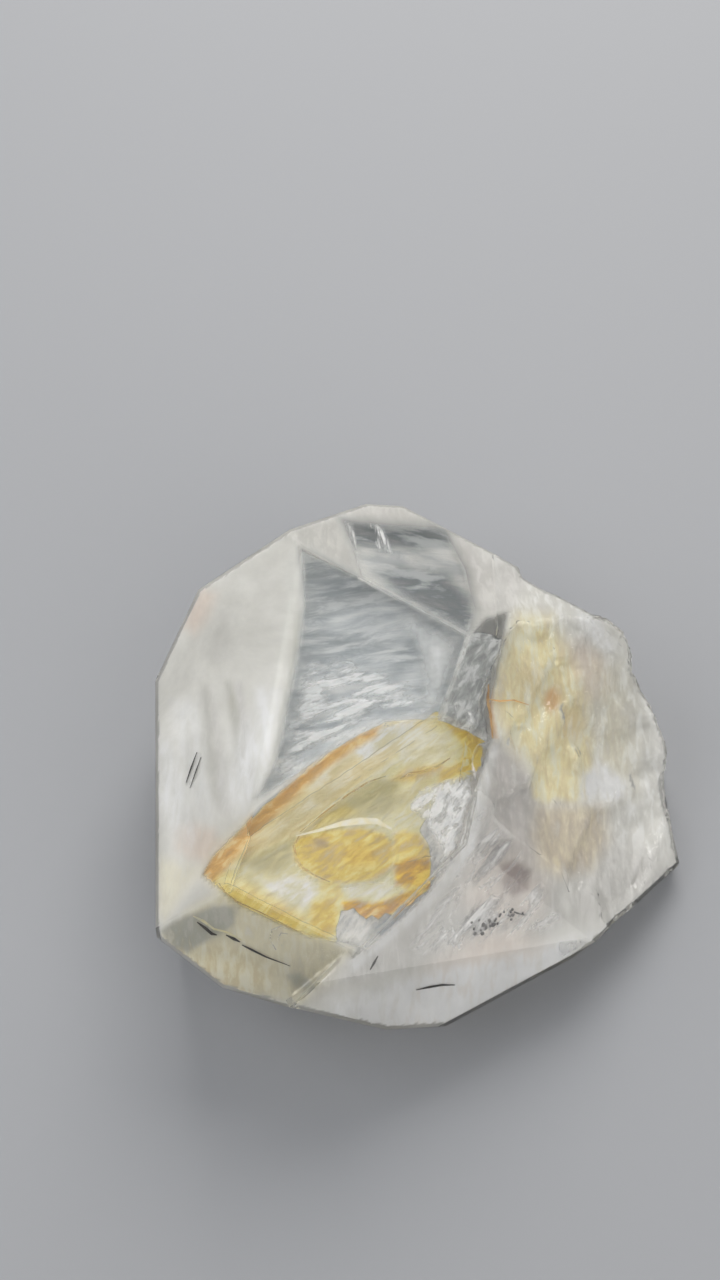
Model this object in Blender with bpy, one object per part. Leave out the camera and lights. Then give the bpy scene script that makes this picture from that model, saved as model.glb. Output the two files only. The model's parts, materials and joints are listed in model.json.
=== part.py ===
"""A stubby clear quartz crystal with a later growth along its right side, all one solid.

The crystal lies on a flat base with its top prism face up. Each flat face is a plane, given like
a facet on a cutting chart: the compass bearing that it faces, clockwise from +Y, its tilt from
level, and its distance from the chart's centre. Metres, +Z up, base at Z = 0.
"""

import math

import bmesh
import bpy
from mathutils import Matrix, Vector, noise

MM = 0.001

# Colour and finish of the stone.
QUARTZ_TINT = (0.90, 0.89, 0.86, 1.0)
QUARTZ_IOR = 1.544
QUARTZ_ROUGHNESS = 0.06

# A cube this large, with its lower side this far under the base, is cut to each shape.
STOCK_SIDE = 110 * MM
STOCK_DROP = 4 * MM
WIDER_STOCK = 1.4

# Faces of the main crystal: bearing and tilt in degrees, distance in mm.
MAIN_FACES = {
    "top": (177.0, 10.5, 23.9),
    "left_slope": (263.3, 34.2, 27.6),
    "back_slope": (40.5, 30.0, 25.9),
    "small_dark": (129.0, 27.7, 22.4),
    "front_low": (157.0, 25.5, 22.65),
    "front_rhomb": (190.0, 59.8, 27.6),
    "left_wall": (266.6, 92.6, 24.0),
    "left_shoulder": (292.7, 82.9, 27.8),
    "back_left": (327.0, 66.0, 30.5),
    "back_tip": (358.9, 58.4, 32.8),
    "back_right": (32.5, 64.0, 28.2),
    "back_wall_left": (336.0, 94.0, 27.0),
    "back_wall": (5.0, 96.0, 26.0),
    "under_corner": (221.8, 110.7, 22.9),
    "under_front": (198.0, 114.8, 19.8),
    "step_back": (98.7, 103.8, 1.4),
    "step_front": (131.0, 114.6, 2.3),
}

# Faces of the growth on the right, which wraps round the crystal's two step faces.
GROWTH_FACES = {
    "back_slope_upper": (40.5, 30.0, 26.4),
    "right_slope": (114.5, 43.7, 20.1),
    "front_slope": (140.6, 42.3, 20.7),
    "front_chip": (150.3, 58.7, 22.55),
    "right_wall": (86.4, 88.4, 26.3),
    "right_shoulder": (69.9, 79.6, 27.4),
    "right_back": (34.1, 68.3, 27.3),
    "right_back_wall": (30.0, 95.0, 24.0),
    "under_left": (198.4, 116.1, 18.8),
    "under_middle": (179.4, 117.0, 18.8),
    "under_right": (151.0, 125.2, 14.7),
    "under_edge": (142.0, 117.0, 17.5),
}

# The growth starts this far inside the two steps that it is fused to.
GROWTH_ROOT = 1.0 * MM

# The growth ends in broken faces. Each is cut by a rough block: a place near the face's middle and
# the block's width and height in mm, the size of one cell of its grid, and how deep it bites.
BROKEN_FACES = {
    "right_slope": ((16.2, 0.5, 13.9), (27.0, 29.0), 0.85, 0.9),
    "right_wall": ((25.5, -1.0, 5.4), (19.0, 10.0), 1.0, 0.9),
    "right_shoulder": ((22.5, 9.5, 9.6), (17.0, 18.0), 1.0, 1.1),
    "right_back": ((14.5, 17.5, 16.0), (13.0, 20.0), 1.0, 0.9),
}
BLOCK_DEPTH = 14 * MM

# A break swells over one grain and swells finer within it. This share of the swells stands proud
# of the face's plane, and so leaves that spot flat.
BREAK_GRAIN = 5.0 * MM
SWELL_FINENESS = 2.1
SWELL_LAYERS = 3
SWELL_PROUD = 0.35

# Ledges climb the break at a slant and wander, and fine ridges run straight up it.
LEDGE_HEIGHT = 0.7 * MM
LEDGE_SPACING = 7.5 * MM
LEDGE_SLANT = 0.35
LEDGE_WANDER = 0.8
WANDER_STRETCH = 0.7
WANDER_START = Vector((4.0, 9.0, 2.0))
RIDGE_SPACING = 2.1 * MM
RIDGE_DEPTH = 0.14 * MM

# A break dies out over this width at its rim.
FADE_WIDTH = 3.0 * MM
FADE_LIFT = 1.6 * MM

# Shell-shaped chips knocked off edges: place in mm on the chart, radius in mm.
CHIPS = (
    ((-25.6, -19.5, 14.0), 1.5),
    ((-25.9, 8.4, 15.2), 1.3),
    ((26.6, -7.4, 3.6), 1.9),
    ((18.0, -17.4, 5.6), 1.6),
)
CHIP_FLATNESS = 0.6
CHIP_ROUNDNESS = 2

# Points closer than this are the same point once the shapes are joined.
WELD = 0.002 * MM


def face_normal(bearing, tilt):
    """The way a face looks, from its bearing clockwise from +Y and its tilt from level."""
    turn = math.radians(bearing)
    lean = math.radians(tilt)
    return Vector((math.sin(turn) * math.sin(lean), math.cos(turn) * math.sin(lean), math.cos(lean)))


def plane_of(face):
    """A chart entry as the plane's normal and its distance in metres."""
    bearing, tilt, distance = face
    return face_normal(bearing, tilt), distance * MM


def clear_scene():
    for obj in list(bpy.data.objects):
        bpy.data.objects.remove(obj, do_unlink=True)


def new_collection(name):
    collection = bpy.data.collections.new(name)
    bpy.context.scene.collection.children.link(collection)
    return collection


def object_from(bm, name, collection):
    """A named object that holds the edited mesh, its faces pointing out."""
    bmesh.ops.recalc_face_normals(bm, faces=bm.faces)
    mesh = bpy.data.meshes.new(name)
    bm.to_mesh(mesh)
    bm.free()
    obj = bpy.data.objects.new(name, mesh)
    collection.objects.link(obj)
    return obj


def as_helper(obj):
    """Keeps a cutter or a joining piece out of the model itself."""
    obj.hide_render = True
    obj.display_type = "WIRE"
    return obj


def cleave(bm, normal, distance):
    """Cuts away what lies beyond a plane and closes the cut with a flat face."""
    everything = bm.verts[:] + bm.edges[:] + bm.faces[:]
    cut = bmesh.ops.bisect_plane(
        bm,
        geom=everything,
        dist=WELD,
        plane_co=normal * distance,
        plane_no=normal,
        clear_outer=True,
    )
    rim = [item for item in cut["geom_cut"] if isinstance(item, bmesh.types.BMEdge)]
    if rim:
        bmesh.ops.contextual_create(bm, geom=rim)


def faceted_block(planes, scale=1.0):
    """A cube cut by every plane in turn. It still reaches a little below the base."""
    side = STOCK_SIDE * scale
    bm = bmesh.new()
    bmesh.ops.create_cube(bm, size=side)
    bmesh.ops.translate(bm, vec=(0, 0, side / 2 - STOCK_DROP * scale), verts=bm.verts)
    for normal, distance in planes:
        cleave(bm, normal, distance)
    return bm


def main_block():
    return faceted_block([plane_of(face) for face in MAIN_FACES.values()])


def growth_block():
    return faceted_block([plane_of(face) for face in GROWTH_FACES.values()])


def inside_steps():
    """The part of the main crystal that the growth leaves free, behind both steps."""
    steps = (plane_of(MAIN_FACES[name]) for name in ("step_back", "step_front"))
    return faceted_block([(normal, distance - GROWTH_ROOT) for normal, distance in steps], WIDER_STOCK)


def fade(u, v, width, height):
    """How far the rough face is lifted near the block's rim, so that the break dies out there."""
    inside = min(width / 2 - abs(u), height / 2 - abs(v))
    return FADE_LIFT * max(0.0, 1 - inside / FADE_WIDTH) ** 2


def break_depth(u, v, deepest):
    """How far a broken face lies inside its plane: swells, slanting ledges and fine ridges."""
    place = Vector((u, v, 0.0)) / BREAK_GRAIN
    swell = 0.5 + 0.5 * noise.fractal(place, 1.0, SWELL_FINENESS, SWELL_LAYERS)
    wander = LEDGE_WANDER * noise.noise(place * WANDER_STRETCH + WANDER_START)
    tread = ((v + LEDGE_SLANT * u) / LEDGE_SPACING + wander) % 1.0
    ridge = abs(2 * ((u / RIDGE_SPACING) % 1.0) - 1)
    return (swell - SWELL_PROUD) * deepest + tread * LEDGE_HEIGHT + ridge * RIDGE_DEPTH


def broken_block(name):
    """A block whose inner side is the broken face and whose other sides stand clear of the stone."""
    normal, distance = plane_of(GROWTH_FACES[name])
    near, (width, height), cell, deepest = BROKEN_FACES[name]
    width, height, cell, deepest = width * MM, height * MM, cell * MM, deepest * MM
    bm = bmesh.new()
    bmesh.ops.create_grid(
        bm,
        x_segments=round(width / cell),
        y_segments=round(height / cell),
        size=0.5,
    )
    for point in bm.verts:
        u = point.co.x * width
        v = point.co.y * height
        lift = fade(u, v, width, height) - break_depth(u, v, deepest)
        point.co = Vector((u, v, lift))
    outer = bmesh.ops.extrude_face_region(bm, geom=bm.faces[:])
    raised = [item for item in outer["geom"] if isinstance(item, bmesh.types.BMVert)]
    bmesh.ops.translate(bm, vec=(0, 0, BLOCK_DEPTH), verts=raised)
    middle = Vector(near) * MM
    middle += normal * (distance - normal.dot(middle))
    across = Vector((0, 0, 1)).cross(normal).normalized()
    up_slope = normal.cross(across)
    turned = Matrix((across, up_slope, normal)).transposed().to_4x4()
    bmesh.ops.transform(bm, matrix=Matrix.Translation(middle) @ turned, verts=bm.verts)
    return bm


def chip_block(place, radius):
    """A squashed ball that scoops one shell-shaped chip out of an edge."""
    bm = bmesh.new()
    bmesh.ops.create_icosphere(bm, subdivisions=CHIP_ROUNDNESS, radius=radius * MM)
    bmesh.ops.scale(bm, vec=(1.0, 1.0, CHIP_FLATNESS), verts=bm.verts)
    bmesh.ops.translate(bm, vec=Vector(place) * MM, verts=bm.verts)
    return bm


def base_block():
    """Everything under the level that the stone rests on."""
    bm = bmesh.new()
    bmesh.ops.create_cube(bm, size=STOCK_SIDE)
    bmesh.ops.translate(bm, vec=(0, 0, -STOCK_SIDE / 2), verts=bm.verts)
    return bm


def add_boolean(obj, other, operation):
    modifier = obj.modifiers.new(f"{operation.lower()} {other.name}", "BOOLEAN")
    modifier.operation = operation
    modifier.solver = "EXACT"
    modifier.object = other


def quartz_material():
    """Clear, faintly warm quartz."""
    material = bpy.data.materials.new("clear_quartz")
    material.use_nodes = True
    shader = material.node_tree.nodes["Principled BSDF"]
    shader.inputs["Base Color"].default_value = QUARTZ_TINT
    shader.inputs["Roughness"].default_value = QUARTZ_ROUGHNESS
    shader.inputs["Metallic"].default_value = 0.0
    shader.inputs["IOR"].default_value = QUARTZ_IOR
    shader.inputs["Transmission Weight"].default_value = 1.0
    return material


def settle(obj):
    """Applies the joins and cuts, welds them, and stands the stone's box on the origin."""
    graph = bpy.context.evaluated_depsgraph_get()
    joined = bpy.data.meshes.new_from_object(obj.evaluated_get(graph))
    obj.modifiers.clear()
    bm = bmesh.new()
    bm.from_mesh(joined)
    bmesh.ops.remove_doubles(bm, verts=bm.verts, dist=WELD)
    bmesh.ops.dissolve_degenerate(bm, edges=bm.edges, dist=WELD)
    lowest = [min(point.co[axis] for point in bm.verts) for axis in range(3)]
    highest = [max(point.co[axis] for point in bm.verts) for axis in range(3)]
    to_origin = Vector((-(lowest[0] + highest[0]) / 2, -(lowest[1] + highest[1]) / 2, -lowest[2]))
    bmesh.ops.translate(bm, vec=to_origin, verts=bm.verts)
    bmesh.ops.triangulate(bm, faces=bm.faces)
    bm.to_mesh(obj.data)
    bm.free()
    print("moved by", [round(value / MM, 3) for value in to_origin])


def main():
    clear_scene()
    stone_parts = new_collection("herkimer_diamond")
    cutters = new_collection("cutters")
    crystal = object_from(main_block(), "crystal", stone_parts)
    growth = as_helper(object_from(growth_block(), "growth", cutters))
    room = as_helper(object_from(inside_steps(), "growth_root", cutters))
    add_boolean(growth, room, "DIFFERENCE")
    add_boolean(crystal, growth, "UNION")
    for name in BROKEN_FACES:
        block = as_helper(object_from(broken_block(name), f"break_{name}", cutters))
        add_boolean(crystal, block, "DIFFERENCE")
    for number, (place, radius) in enumerate(CHIPS):
        chip = as_helper(object_from(chip_block(place, radius), f"chip_{number}", cutters))
        add_boolean(crystal, chip, "DIFFERENCE")
    ground = as_helper(object_from(base_block(), "below_base", cutters))
    add_boolean(crystal, ground, "DIFFERENCE")
    settle(crystal)
    crystal.data.materials.append(quartz_material())


main()
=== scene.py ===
# %% [markdown]
# # A clear quartz crystal with a golden stain inside
# The stone is one stubby quartz crystal. Its outer faces are clear, and what gives it its look lies
# inside: milky haze under some faces, a leaf-shaped healed crack stained gold by iron, yellow stain
# under the broken right side, and a few dark cracks and specks.
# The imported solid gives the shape. This script dresses it and puts the inclusions in place.

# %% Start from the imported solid
import json
import math

import bpy
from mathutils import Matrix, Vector, noise
from mathutils.bvhtree import BVHTree

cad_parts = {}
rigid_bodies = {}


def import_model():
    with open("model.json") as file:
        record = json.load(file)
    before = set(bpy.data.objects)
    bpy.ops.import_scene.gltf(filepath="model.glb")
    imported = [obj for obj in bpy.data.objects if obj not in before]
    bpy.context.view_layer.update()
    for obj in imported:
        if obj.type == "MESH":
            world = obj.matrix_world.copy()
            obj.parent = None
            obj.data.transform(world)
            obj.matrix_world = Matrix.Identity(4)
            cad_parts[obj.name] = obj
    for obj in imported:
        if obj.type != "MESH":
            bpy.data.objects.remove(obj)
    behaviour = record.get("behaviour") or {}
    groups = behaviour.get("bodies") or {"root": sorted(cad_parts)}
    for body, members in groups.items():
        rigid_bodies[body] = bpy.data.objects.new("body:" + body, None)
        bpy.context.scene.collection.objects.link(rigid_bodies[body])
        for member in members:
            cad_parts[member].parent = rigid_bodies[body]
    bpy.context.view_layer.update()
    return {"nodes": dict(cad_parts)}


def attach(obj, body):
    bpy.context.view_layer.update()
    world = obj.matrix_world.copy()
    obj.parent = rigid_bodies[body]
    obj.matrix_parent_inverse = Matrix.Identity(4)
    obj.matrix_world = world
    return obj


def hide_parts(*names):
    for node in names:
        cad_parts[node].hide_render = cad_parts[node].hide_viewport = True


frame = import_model()
solid = frame["nodes"]["crystal"]
MM = 0.001
print("packed solid:", len(solid.data.polygons), "triangles")

# %% [markdown]
# ## Camera
# The camera stands where the photograph was taken: in front of the stone, looking 56 degrees down.

# %% Camera
PHOTO_SIZE = (720, 1280)
LENS, SENSOR = 50, 36
EYE = Vector((-6.06, -87.63, 162.36)) * MM
LOOK_DOWN = math.radians(56)

bpy.ops.object.camera_add(location=EYE, rotation=(math.pi / 2 - LOOK_DOWN, 0, 0))
camera = bpy.context.object
camera.data.lens = LENS
camera.data.sensor_width = SENSOR
camera.data.clip_start = 5 * MM
bpy.context.scene.camera = camera
bpy.context.view_layer.update()
print("camera at", [round(value / MM, 1) for value in EYE], "mm")

# %% [markdown]
# ## Floor and light
# A plain pale floor, an even sky, and three large soft lamps: one high behind the stone, which lights
# its top faces, a weaker one on the left, and one on the front right.

# %% Floor and light
FLOOR_GAP = 0.05 * MM


def shader_of(material):
    material.use_nodes = True
    return material.node_tree.nodes["Principled BSDF"]


bpy.ops.mesh.primitive_plane_add(size=6, location=(0, 0, -FLOOR_GAP))
floor = bpy.context.object
floor.name = "floor"
floor_finish = bpy.data.materials.new("pale_floor")
shader_of(floor_finish).inputs["Base Color"].default_value = (0.215, 0.22, 0.23, 1)
shader_of(floor_finish).inputs["Roughness"].default_value = 0.7
floor.data.materials.append(floor_finish)

sky = bpy.data.worlds.new("even_sky")
bpy.context.scene.world = sky
sky.use_nodes = True
sky.node_tree.nodes["Background"].inputs["Color"].default_value = (0.83, 0.845, 0.875, 1)
sky.node_tree.nodes["Background"].inputs["Strength"].default_value = 0.62


def soft_lamp(name, place, size, power, colour):
    """A square lamp that faces the stone."""
    bpy.ops.object.light_add(type="AREA", location=place)
    lamp = bpy.context.object
    lamp.name = name
    lamp.data.size = size
    lamp.data.energy = power
    lamp.data.color = colour
    lamp.rotation_euler = (Vector((0, 0, 0.01)) - Vector(place)).to_track_quat("-Z", "Y").to_euler()


soft_lamp("lamp_behind", (0.06, 0.47, 0.42), 0.5, 4.8, (1.0, 0.98, 0.95))
soft_lamp("lamp_left", (-0.52, -0.06, 0.44), 0.6, 2.4, (0.97, 0.98, 1.0))
soft_lamp("lamp_right", (0.30, -0.50, 0.42), 0.8, 3.2, (1.0, 0.98, 0.95))
bpy.context.scene.view_settings.view_transform = "Standard"
bpy.context.scene.cycles.transparent_max_bounces = 40
bpy.context.scene.cycles.max_bounces = 16
bpy.context.scene.cycles.transmission_bounces = 16

# %% [markdown]
# ## Seeing into the stone
# A ray of sight bends when it enters quartz. To put an inclusion where the photograph shows it, the
# ray through a pixel is followed to a face, bent there, and followed on to the wanted depth. Where that
# place would lie outside the crystal, it is drawn back to just under the skin.

# %% Seeing into the stone
QUARTZ_IOR = 1.544
SKIN_REACH = 4 * MM
surface = BVHTree.FromPolygons([point.co for point in solid.data.vertices],
                               [face.vertices for face in solid.data.polygons])


def sight(px, py):
    """The way from the camera through a pixel of the photograph."""
    half_width, half_height = PHOTO_SIZE[0] / 2, PHOTO_SIZE[1] / 2
    slope = SENSOR / LENS / PHOTO_SIZE[1]
    way = Vector(((px - half_width) * slope, (half_height - py) * slope, -1))
    return (camera.matrix_world.to_3x3() @ way).normalized()


def face_at(*pixels):
    """The mean place and slope of the solid's surface where some pixels see it."""
    hits = [surface.ray_cast(EYE, sight(px, py)) for px, py in pixels]
    place = sum((hit[0] for hit in hits), Vector()) / len(hits)
    normal = sum((hit[1] for hit in hits), Vector()).normalized()
    return place, normal


def inside(px, py, depth, face, skin=False):
    """The point this deep under a face, in mm, that is seen at a pixel. Under a rough skin the depth
    counts from the surface itself and not from the face's mean plane."""
    place, normal = face
    way = sight(px, py)
    entry = EYE + way * ((place - EYE).dot(normal) / way.dot(normal))
    if skin:
        spot = surface.ray_cast(EYE, way)[0]
        entry = spot if spot and (spot - entry).length < SKIN_REACH else entry
    ratio = 1 / QUARTZ_IOR
    slant = -way.dot(normal)
    bent = ratio * way + (ratio * slant - math.sqrt(1 - ratio**2 * (1 - slant**2))) * normal
    return entry + bent * (depth * MM / -bent.dot(normal))


def under_skin(point, gap):
    """The point itself, or one this far under the skin, in mm, where it would lie too near or outside."""
    near, normal = surface.find_nearest(point)[:2]
    return near - normal * gap * MM if (near - point).dot(normal) < gap * MM else point


TOP = face_at((370, 650))
LEFT = face_at((230, 680))
BACK = face_at((400, 560))
DARK = face_at((475, 670))
LOW = face_at((330, 880))
RHOMB = face_at((250, 945))
FRONT = face_at((510, 840))
CHIP = face_at((470, 980))
RIGHT = face_at(*((px, py) for px in (530, 560, 590, 620) for py in (640, 700, 760, 820)))
print("slopes of the top, left and right faces:", *(face[1] for face in (TOP, LEFT, RIGHT)))

# %% [markdown]
# ## Thin inclusions
# A healed crack is a thin film. Each one is drawn as a flat shape over the photograph, sliced into
# cells so that it can bend, given a thickness, and moved into the stone point by point.

# %% Thin inclusions
FILM = 0.08
SHELTERED = 0.45
TORN_SIZE = 9
PATTERN_UNIT = 100
MERGE = 0.002 * MM


def deselect():
    if bpy.context.mode != "OBJECT":
        bpy.ops.object.mode_set(mode="OBJECT")
    bpy.ops.object.select_all(action="DESELECT")


def torn(points, wobble, step=5.0):
    """An outline with points every few pixels, moved a little to and fro."""
    elsewhere = Vector((40, 7, 3))
    outline = []
    for (ax, ay), (bx, by) in zip(points, points[1:] + points[:1]):
        count = max(1, round(math.dist((ax, ay), (bx, by)) / step))
        for number in range(count):
            share = number / count
            px, py = ax + (bx - ax) * share, ay + (by - ay) * share
            place = Vector((px / TORN_SIZE, py / TORN_SIZE, 0))
            across, along = noise.noise(place), noise.noise(place + elsewhere)
            outline.append((px + wobble * across, py + wobble * along))
    return outline


def ribbon(points, widths):
    """The outline of a line with a changing width."""
    left, right = [], []
    for number, point in enumerate(points):
        before, after = points[max(number - 1, 0)], points[min(number + 1, len(points) - 1)]
        way = (Vector(after) - Vector(before)).normalized()
        width = widths[min(number, len(widths) - 1)]
        left.append((point[0] - way.y * width / 2, point[1] + way.x * width / 2))
        right.append((point[0] + way.y * width / 2, point[1] - way.x * width / 2))
    return left + right[::-1]


def edge_distance(spot, outline, closed=True):
    """How far a spot lies from an outline or an open line, in pixels."""
    nearest = 1e9
    for a, b in zip(outline, outline[1:] + outline[:1] if closed else outline[1:]):
        a, b = Vector(a), Vector(b)
        along = b - a
        share = max(0.0, min(1.0, (spot - a).dot(along) / max(along.length_squared, 1e-9)))
        nearest = min(nearest, (spot - a - along * share).length)
    return nearest


def within(spot, outline):
    """True inside an outline."""
    crossings = 0
    for (ax, ay), (bx, by) in zip(outline, outline[1:] + outline[:1]):
        if (ay > spot.y) != (by > spot.y) and spot.x < ax + (spot.y - ay) / (by - ay) * (bx - ax):
            crossings += 1
    return crossings % 2 == 1


def covered(spot, outline, blur):
    """1 inside an outline, 0 outside, with a soft step as wide as the blur."""
    if not (min(x for x, y in outline) - blur < spot.x < max(x for x, y in outline) + blur
            and min(y for x, y in outline) - blur < spot.y < max(y for x, y in outline) + blur):
        return 0.0
    reach = edge_distance(spot, outline) * (1 if within(spot, outline) else -1)
    step = min(1.0, max(0.0, 0.5 + reach / blur / 2))
    return step * step * (3 - 2 * step)


def tint_shares(spot, places, names):
    """How much of each tint a pixel gets from the places that are listed."""
    shares = dict.fromkeys(names, 0.0)
    for name, strength, blur, outline in places:
        shares[name] = max(shares[name], strength * covered(spot, outline, blur))
    return shares


def keep_shares(mesh, shares):
    """Store the tints of a mesh, point by point, under their names."""
    for name in shares[0]:
        values = mesh.attributes.new(name, "FLOAT", "POINT").data
        values.foreach_set("value", [share[name] for share in shares])


def sliced_shape(name, outline, cell):
    """A flat filled outline, cut into cells."""
    deselect()
    bpy.ops.mesh.primitive_circle_add(vertices=len(outline), radius=1, fill_type="NGON")
    piece = bpy.context.object
    piece.name = name
    for corner, (px, py) in zip(piece.data.vertices, outline):
        corner.co = (px, -py, 0)
    bpy.ops.object.mode_set(mode="EDIT")
    for axis in (0, 1):
        values = [corner[axis] * (1, -1)[axis] for corner in outline]
        cut = math.ceil(min(values) / cell) * cell
        while cut < max(values):
            across = Vector((0, 0, 0))
            across[axis] = 1
            bpy.ops.mesh.select_all(action="SELECT")
            bpy.ops.mesh.bisect(plane_co=across * cut, plane_no=across)
            cut += cell
    bpy.ops.object.mode_set(mode="OBJECT")
    return piece


def dress(piece, material):
    piece.data.materials.clear()
    piece.data.materials.append(material)


def film(name, outline, face, depth, material, cell=6.0, places=(), tints=()):
    """A thin inclusion under a face. Depth is a number or a function of the pixel, in mm. Places are
    the soft areas of its tints."""
    piece = sliced_shape(name, outline, cell)
    solidify = piece.modifiers.new("thickness", "SOLIDIFY")
    solidify.thickness = FILM
    solidify.offset = 0
    bpy.ops.object.modifier_apply(modifier=solidify.name)
    bpy.ops.object.mode_set(mode="EDIT")
    bpy.ops.mesh.select_all(action="SELECT")
    bpy.ops.mesh.normals_make_consistent(inside=False)
    bpy.ops.object.mode_set(mode="OBJECT")
    mesh = piece.data
    while mesh.uv_layers:
        mesh.uv_layers.remove(mesh.uv_layers[0])
    pattern = mesh.uv_layers.new(name="pattern").data
    for loop in mesh.loops:
        flat = mesh.vertices[loop.vertex_index].co
        pattern[loop.index].uv = (flat.x / PATTERN_UNIT, flat.y / PATTERN_UNIT)
    inward = mesh.attributes.new("inward", "FLOAT", "POINT")
    shares = []
    for point in mesh.vertices:
        px, py, lift = point.co.x, -point.co.y, point.co.z
        if tints:
            shares.append(tint_shares(Vector((px, py)), places, tints))
        inward.data[point.index].value = edge_distance(Vector((px, py)), outline)
        here = depth(px, py) if callable(depth) else depth
        spot = inside(px, py, here - lift, face, face is RIGHT)
        point.co = under_skin(spot, min(here, SHELTERED) - lift)
    if tints:
        keep_shares(mesh, shares)
    dress(piece, material)
    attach(piece, "root")
    print(name, len(mesh.polygons), "faces")


def line_film(name, points, widths, face, depth, material, cell=6.0):
    """A long and narrow inclusion."""
    film(name, ribbon(points, widths), face, depth, material, cell)


# %% [markdown]
# ## Shared patterns
# Two node groups are used all over the stone: brushed streaks, which also give the soft clouds, and a torn
# edge that lets a film fade out towards its outline.

# %% Shared patterns


def new_group(name, inputs, outputs):
    group = bpy.data.node_groups.new(name, "ShaderNodeTree")
    for title, kind, value in inputs:
        socket = group.interface.new_socket(title, in_out="INPUT", socket_type=kind)
        if value is not None:
            socket.default_value = value
    for title, kind in outputs:
        group.interface.new_socket(title, in_out="OUTPUT", socket_type=kind)
    return group, add(group, "NodeGroupInput"), add(group, "NodeGroupOutput")


def add(tree, kind, values=None, sockets=None, **settings):
    """A node with its options, its plain input values and its links."""
    made = tree.nodes.new(kind)
    for key, value in settings.items():
        setattr(made, key, value)
    for key, value in (values or {}).items():
        made.inputs[key].default_value = value
    for key, source in (sockets or {}).items():
        tree.links.new(source, made.inputs[key])
    return made


def math_node(tree, operation, *values, clamp=False):
    """One sum on plain numbers and sockets."""
    made = add(tree, "ShaderNodeMath", operation=operation, use_clamp=clamp)
    for index, value in enumerate(values):
        if isinstance(value, (int, float)):
            made.inputs[index].default_value = value
        else:
            tree.links.new(value, made.inputs[index])
    return made.outputs[0]


def make_streaks():
    """Noise pulled out along one direction. Scale is in pattern units, Contrast sharpens it."""
    group, given, out = new_group(
        "streaks",
        [("Vector", "NodeSocketVector", None), ("Scale", "NodeSocketFloat", 4.0),
         ("Stretch", "NodeSocketVector", (1, 1, 1)), ("Turn", "NodeSocketVector", (0, 0, 0)),
         ("Warp", "NodeSocketFloat", 0.4), ("Contrast", "NodeSocketFloat", 1.0)],
        [("Value", "NodeSocketFloat")],
    )
    turned = add(group, "ShaderNodeMapping", vector_type="TEXTURE", sockets={
        "Vector": given.outputs["Vector"], "Rotation": given.outputs["Turn"],
        "Scale": given.outputs["Stretch"]})
    grain = add(group, "ShaderNodeTexNoise", values={"Detail": 6.0, "Roughness": 0.6}, sockets={
        "Vector": turned.outputs[0], "Scale": given.outputs["Scale"], "Distortion": given.outputs["Warp"]})
    centred = math_node(group, "SUBTRACT", grain.outputs["Fac"], 0.5)
    spread = math_node(group, "MULTIPLY", centred, given.outputs["Contrast"])
    value = math_node(group, "ADD", spread, 0.5, clamp=True)
    group.links.new(value, out.inputs["Value"])
    return group


def make_torn_edge():
    """0 at a film's outline and 1 inside it, over a width in pixels, with a ragged front."""
    group, given, out = new_group(
        "torn_edge",
        [("Vector", "NodeSocketVector", None), ("Width", "NodeSocketFloat", 6.0),
         ("Raggedness", "NodeSocketFloat", 4.0), ("Scale", "NodeSocketFloat", 12.0)],
        [("Mask", "NodeSocketFloat")],
    )
    inward = add(group, "ShaderNodeAttribute", attribute_name="inward")
    grain = add(group, "ShaderNodeTexNoise", values={"Detail": 4.0}, sockets={
        "Vector": given.outputs["Vector"], "Scale": given.outputs["Scale"]})
    bite = math_node(group, "MULTIPLY", grain.outputs["Fac"], given.outputs["Raggedness"])
    left = math_node(group, "SUBTRACT", inward.outputs["Fac"], bite)
    mask = math_node(group, "DIVIDE", left, given.outputs["Width"], clamp=True)
    group.links.new(mask, out.inputs["Mask"])
    return group


STREAKS = make_streaks()
TORN_EDGE = make_torn_edge()


def streaks_on(tree, vector, **values):
    group = add(tree, "ShaderNodeGroup", node_tree=STREAKS, sockets={"Vector": vector}, values=values)
    return group.outputs[0]


print("groups:", STREAKS.name, TORN_EDGE.name)

# %% [markdown]
# A film's finish runs between a few tones along the streaks. Its cover says how much of the light it
# stops, from the thinnest place to the thickest, and it fades out at the torn edge. Only the side
# that is turned to the eye covers, so that a thin veil stays light instead of showing its own inside.

# %% Film finish
RAMP_START, RAMP_END = 0.25, 0.75
PATCHES, LEAST_PATCH = 1.1, 0.45
CLOUD_SCALE = 0.6
FILM_WARP = 0.4
RELIEF = 0.3 * MM


def tone_ramp(tree, value, tones):
    """Colours spread evenly over a value from 0 to 1."""
    ramp = add(tree, "ShaderNodeValToRGB", sockets={"Fac": value})
    steps = ramp.color_ramp.elements
    steps[0].position, steps[1].position = RAMP_START, RAMP_END
    steps[0].color, steps[1].color = (*tones[0], 1), (*tones[-1], 1)
    for number, tone in enumerate(tones[1:-1], 1):
        share = number / (len(tones) - 1)
        steps.new(RAMP_START + (RAMP_END - RAMP_START) * share).color = (*tone, 1)
    return ramp.outputs["Color"]


def tinted(tree, colour, pattern, tones_by_name):
    """Lay the tints over a colour. Each mask is broken up by the pattern."""
    patchy = math_node(tree, "MULTIPLY_ADD", pattern, PATCHES, LEAST_PATCH)
    for name, tones in tones_by_name.items():
        mask = add(tree, "ShaderNodeAttribute", attribute_name=name).outputs["Fac"]
        amount = math_node(tree, "MULTIPLY", mask, patchy, clamp=True)
        mixed = add(tree, "ShaderNodeMix", data_type="RGBA",
                    sockets={0: amount, 6: colour, 7: tone_ramp(tree, pattern, tones)})
        colour = mixed.outputs[2]
    return colour


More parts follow.
